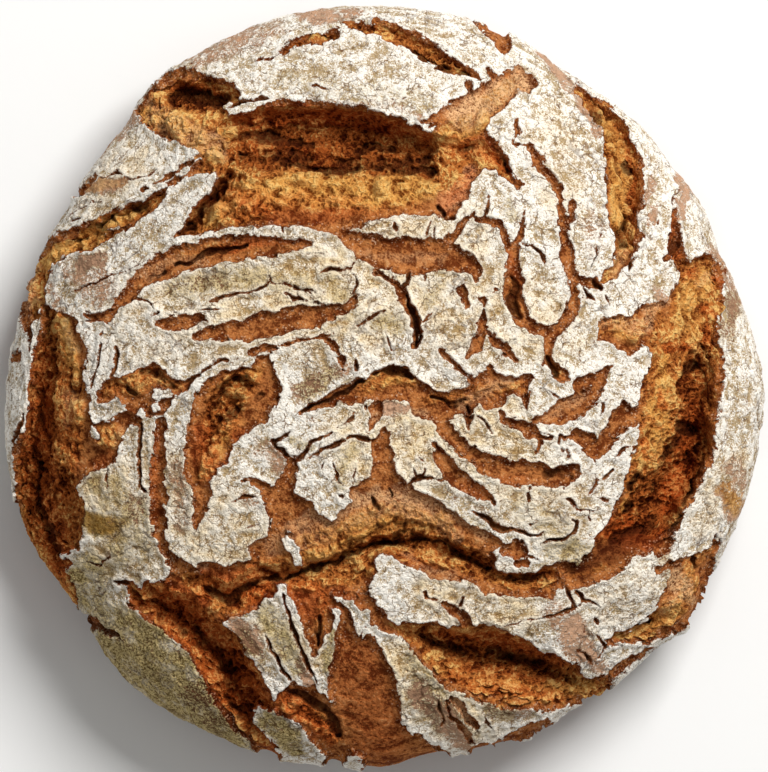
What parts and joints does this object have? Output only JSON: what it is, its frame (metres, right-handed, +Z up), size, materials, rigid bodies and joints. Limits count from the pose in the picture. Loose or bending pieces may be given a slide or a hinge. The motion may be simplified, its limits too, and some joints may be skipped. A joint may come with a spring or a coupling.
{
  "type": "rye bread loaf",
  "caption": "Round free-standing rye loaf: low dome with a torn shoulder and crown, raised plates of floured crust and a flat sole.",
  "frame": {"origin": "middle of the flat sole that the loaf rests on", "axes": "+Z up from the sole to the crown, +X and +Y level across the loaf, with the widest open tear of the crown towards +Y"},
  "size_m": [0.2778, 0.2802, 0.0874],
  "materials": {
    "crust": null
  },
  "bodies": {
    "root": {"loaf": "crust"}
  },
  "joints": []
}
